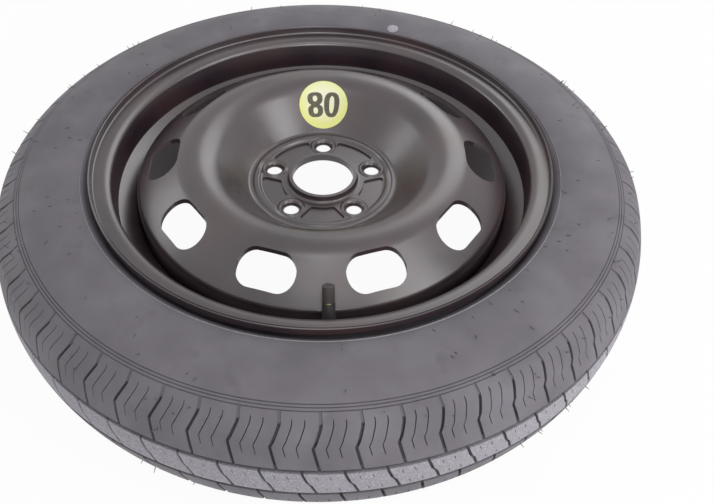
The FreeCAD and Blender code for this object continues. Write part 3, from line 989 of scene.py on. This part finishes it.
    def build(self, solids: dict[str, bpy.types.Object], coat: bpy.types.Material) -> None:
        """Shape, paint and seat the three pieces.

        Args:
            solids: the frame's solids by name.
            coat: the wheel's paint.
        """
        rim = self.spun_rim()
        self.mark_dry(rim, lambda spot, normal: spot.z < self.dry_z * MM)
        seat(dress(rim, coat), Body.WHEEL, Slot.PAINT, self.rim)
        disc = self.lower_bosses(skin_of(solids[self.disc], self.disc + "_skin"))
        self.mark_dry(disc, self.behind)
        seat(dress(disc, coat), Body.WHEEL, Slot.PAINT, self.disc)
        welds = skin_of(solids[self.welds], self.welds + "_skin")
        seat(dress(welds, coat), Body.WHEEL, Slot.PAINT, self.welds)


@dataclass
class Valve:
    """The snap-in valve: stem, cap and spring as smooth skins, the brass and the seals as they are.

    The axis points out along the stem, the way that the pin comes back.
    """

    stem: str = "valve_stem"
    cap: str = "valve_cap"
    seals: tuple[str, ...] = ("core_seal", "pin_seal", "cap_seal")
    brass: tuple[str, ...] = ("valve_insert", "core_body", "valve_pin")
    spring: str = "core_spring"
    axis: Triple = (-0.0164, 0.4692, 0.8829)

    def coil(self, source: bpy.types.Object) -> None:
        """Skin and dress the spring, and bake its place into its mesh.

        Args:
            source: the spring's solid.
        """
        piece = dress(skin_of(source, "core_spring_coil"), SPRING_WIRE.material())
        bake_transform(piece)
        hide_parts(self.spring)
        log.info("%s: %d faces from %s to %s", piece.name, len(piece.data.polygons), Body.WHEEL.value,
                 Body.PIN.value)

    def build(self, solids: dict[str, bpy.types.Object]) -> None:
        """Dress the valve's pieces and seat the stem's and the cap's skins.

        Args:
            solids: the frame's solids by name.
        """
        rubber, nylon = STEM_RUBBER.material(), CAP_PLASTIC.material()
        metal = TURNED_BRASS.material()
        for name in self.seals:
            dress(solids[name], rubber)
        for name in self.brass:
            dress(solids[name], metal)
        self.coil(solids[self.spring])
        stem = skin_of(solids[self.stem], "valve_stem_rubber")
        seat(dress(stem, rubber), Body.WHEEL, Slot.RUBBER, self.stem)
        cap = skin_of(solids[self.cap], "valve_cap_moulding")
        seat(dress(cap, nylon), Body.CAP, Slot.CAP, self.cap)


@dataclass(frozen=True)
class Digit:
    """One printed digit: where it stands, and its rounded lobes and holes.

    Each lobe and hole is its height on the label, its half-width and its half-height.
    """

    place: float
    lobes: tuple[Triple, ...]
    holes: tuple[Triple, ...]
    roundness: float = 2.5
    steps: int = 24

    def contour(self, lobes: Sequence[Triple]) -> list[Point2]:
        """The outline round a stack of lobes.

        Args:
            lobes: the lobes, lowest first.

        Returns:
            Points up the right side and down the left.
        """
        low = lobes[0][0] - lobes[0][2]
        high = lobes[-1][0] + lobes[-1][2]
        right = []
        for step in range(1, self.steps):
            y = (low + high) / 2.0 - (high - low) / 2.0 * math.cos(math.pi * step / self.steps)
            spans = [(half, max(0.0, 1.0 - abs((y - mid) / tall) ** self.roundness))
                     for mid, half, tall in lobes]
            right.append((max(half * span ** (1.0 / self.roundness) for half, span in spans), y))
        left = [(self.place - x, y) for x, y in reversed(right)]
        return [(self.place + x, y) for x, y in right] + left

    def contours(self) -> list[list[Point2]]:
        """The digit's outer outline and the outlines of its holes."""
        return [self.contour(self.lobes)] + [self.contour([hole]) for hole in self.holes]


@dataclass
class Label:
    """The round speed label on the dome's inner slope, with its plain figure. Millimetres."""

    film: str = "speed_label"
    mark: str = "sidewall_dot"
    centre_r: float = 98.5
    bowl_r: float = 77.0
    bowl_z: float = 5.5
    slope_deg: float = 46.0
    crest_from_r: float = 106.0
    crest_fall: float = 52.0
    digits: tuple[Digit, ...] = (
        Digit(-9.05, ((-6.6, 8.6, 7.2), (6.6, 8.0, 7.2)), ((-6.5, 2.7, 3.5), (6.8, 2.4, 3.2))),
        Digit(9.05, ((0.0, 8.4, 13.8),), ((0.0, 2.7, 9.6),)))
    lift: float = 0.32
    thick: float = 0.12
    facet: float = 3.0

    def flat_figure(self) -> bmesh.types.BMesh:
        """The figure as a thin flat mesh with edges short enough to bend.

        Returns:
            The mesh, lying in the XY plane.
        """
        bm = bmesh.new()
        for digit in self.digits:
            rims = []
            for loop in digit.contours():
                verts = [bm.verts.new((x * MM, y * MM, -self.thick / 2.0 * MM)) for x, y in loop]
                rims += [bm.edges.new(pair) for pair in zip(verts, verts[1:] + verts[:1])]
            bmesh.ops.triangle_fill(bm, use_beauty=True, edges=rims)
        long_edges = [edge for edge in bm.edges if edge.calc_length() > self.facet * MM]
        bmesh.ops.subdivide_edges(bm, edges=long_edges, cuts=1)
        bmesh.ops.triangulate(bm, faces=bm.faces[:])
        raised = bmesh.ops.extrude_face_region(bm, geom=bm.faces[:])["geom"]
        tops = [item for item in raised if isinstance(item, bmesh.types.BMVert)]
        bmesh.ops.translate(bm, verts=tops, vec=(0.0, 0.0, self.thick * MM))
        return bm

    def figures(self) -> bpy.types.Object:
        """The printed figure as a thin raised mesh that lies on the label.

        Returns:
            The figure, undressed.
        """
        bm = self.flat_figure()
        slope = math.radians(self.slope_deg)
        for vert in bm.verts:
            run, rise, up = vert.co / MM
            r = self.centre_r + rise * math.cos(slope)
            z = self.bowl_z + (r - self.bowl_r) * math.tan(slope)
            z -= max(0.0, r - self.crest_from_r) ** 2 / self.crest_fall
            r -= (self.lift + up) * math.sin(slope)
            z += (self.lift + up) * math.cos(slope)
            angle = math.pi / 2.0 - run / self.centre_r
            vert.co = Vector((r * math.cos(angle), r * math.sin(angle), z)) * MM
        bmesh.ops.recalc_face_normals(bm, faces=bm.faces[:])
        return finish_mesh(bm, "label_figure")

    def build(self, solids: dict[str, bpy.types.Object]) -> None:
        """Dress the film and the sidewall mark, and print the figure.

        Args:
            solids: the frame's solids by name.
        """
        dress(solids[self.film], LabelFilm().material())
        dress(solids[self.mark], MARK_PAINT.material())
        seat(dress(self.figures(), LABEL_INK.material()), Body.WHEEL, Slot.LABEL)


@dataclass(frozen=True)
class Lamp:
    """One soft disk lamp: its place and size in metres, and its power in watts."""

    name: str
    place: Triple
    size: float
    power: float

    def build(self) -> None:
        """Hang the lamp so that it faces the wheel."""
        lamp = bpy.data.lights.new(self.name, "AREA")
        lamp.shape = "DISK"
        lamp.size = self.size
        lamp.energy = self.power
        rig = bpy.data.objects.new(self.name, lamp)
        aim = (-Vector(self.place)).to_track_quat("-Z", "Y").to_matrix().to_4x4()
        rig.matrix_world = Matrix.Translation(self.place) @ aim
        bpy.context.scene.collection.objects.link(rig)


@dataclass(frozen=True)
class Studio:
    """Plain white floor and soft light, with the camera where the photograph was taken.

    Millimetres and degrees.
    """

    white: str = "#ffffff"
    floor_tone: str = "#f6f6f6"
    floor_rough: float = 0.9
    floor_z: float = -103.4
    floor_reach: float = 6000.0
    position: Triple = (8.2, -669.9, 594.0)
    yaw: float = 2.58
    pitch: float = 46.21
    roll: float = 2.0
    focal_px: float = 848.0
    near_clip: float = 10.0
    sky: float = 0.26
    floor_glow: float = 0.95
    lamps: tuple[Lamp, ...] = (Lamp("rear_window", (0.72, 1.45, 1.05), 1.4, 10.0),
                               Lamp("right_softbox", (1.5, -0.95, 1.7), 1.2, 16.0),
                               Lamp("overhead", (0.0, -0.7, 2.0), 0.9, 5.0),
                               Lamp("right_side", (1.7, -0.7, 0.35), 1.0, 8.0),
                               Lamp("left_fill", (-1.7, 0.5, 0.6), 1.0, 5.0),
                               Lamp("front_fill", (0.2, -2.2, 1.1), 1.2, 17.0))

    def camera(self) -> None:
        """Place the camera and make it the scene's own."""
        data = bpy.data.cameras.new("camera")
        data.sensor_fit = "HORIZONTAL"
        data.sensor_width = SENSOR_MM
        data.lens = self.focal_px / PHOTO_WIDTH * SENSOR_MM
        data.clip_start = self.near_clip * MM
        camera = bpy.data.objects.new("camera", data)
        yaw, pitch = math.radians(self.yaw), math.radians(self.pitch)
        level = math.cos(pitch)
        ahead = Vector((level * math.sin(yaw), level * math.cos(yaw), -math.sin(pitch)))
        right = ahead.cross(Vector((0, 0, 1))).normalized()
        up = right.cross(ahead)
        cos_roll, sin_roll = math.cos(math.radians(self.roll)), math.sin(math.radians(self.roll))
        right, up = right * cos_roll + up * sin_roll, up * cos_roll - right * sin_roll
        pose = Matrix((right, up, -ahead)).transposed().to_4x4()
        pose.translation = Vector(self.position) * MM
        camera.matrix_world = pose
        bpy.context.scene.collection.objects.link(camera)
        bpy.context.scene.camera = camera

    def seen(self, tree: bpy.types.NodeTree) -> bpy.types.NodeSocket:
        """One for rays that show the surround: from the camera, off a shiny face or through a clear one.

        Args:
            tree: the node tree to add to.

        Returns:
            The socket that carries it.
        """
        path = node(tree, "LightPath").outputs
        glossy = node(tree, "Math", {0: path["Is Camera Ray"], 1: path["Is Glossy Ray"]},
                      operation="MAXIMUM")
        clear = node(tree, "Math", {0: glossy.outputs[0], 1: path["Is Transmission Ray"]},
                     operation="MAXIMUM")
        return clear.outputs[0]

    def floor(self) -> None:
        """A large pale floor that reads white to the camera and keeps a soft shadow."""
        bm = bmesh.new()
        bmesh.ops.create_grid(bm, x_segments=1, y_segments=1, size=self.floor_reach * MM)
        bmesh.ops.translate(bm, verts=bm.verts[:], vec=(0, 0, self.floor_z * MM))
        floor = finish_mesh(bm, "floor")
        material, tree, shader = blank_material("pale_floor")
        plug(shader, {"Base Color": linear(self.floor_tone), "Roughness": self.floor_rough})
        glow = node(tree, "Emission", {"Color": linear(self.white), "Strength": 1.0})
        share = node(tree, "Math", {0: self.seen(tree), 1: self.floor_glow}, operation="MULTIPLY")
        mix = node(tree, "MixShader", {0: share.outputs[0], 1: shader.outputs[0], 2: glow.outputs[0]})
        plug(tree.get_output_node("ALL"), {"Surface": mix.outputs[0]})
        dress(floor, material)

    def light(self) -> None:
        """An even white surround and soft lamps."""
        world = bpy.data.worlds.new("surround")
        world.use_nodes = True
        tree = world.node_tree
        tree.nodes.clear()
        sky = node(tree, "Background", {"Color": linear(self.white), "Strength": self.sky})
        white = node(tree, "Background", {"Color": linear(self.white), "Strength": 1.0})
        mix = node(tree, "MixShader", {0: self.seen(tree), 1: sky.outputs[0], 2: white.outputs[0]})
        node(tree, "OutputWorld", {"Surface": mix.outputs[0]})
        bpy.context.scene.world = world
        for lamp in self.lamps:
            lamp.build()
        bpy.context.scene.view_settings.view_transform = "Standard"

    def build(self) -> None:
        """Set the camera, the floor and the light."""
        self.camera()
        self.floor()
        self.light()


def main() -> None:
    """Build, dress and seat every piece, then light the scene."""
    logging.basicConfig(level=logging.INFO, format="%(message)s")
    solids = frame["nodes"]
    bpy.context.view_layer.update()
    Studio().build()
    rubber = TyreRubber().material()
    tyre = Tyre()
    seat(dress(tyre.build(), rubber), Body.WHEEL, Slot.TYRE, "tyre")
    seat(dress(VentHairs(tyre).build(), HAIR_RUBBER.material()), Body.WHEEL, Slot.TYRE)
    PressedWheel().build(solids, CoatedSteel().material())
    Valve().build(solids)
    Label().build(solids)


if __name__ == "__main__":
    main()
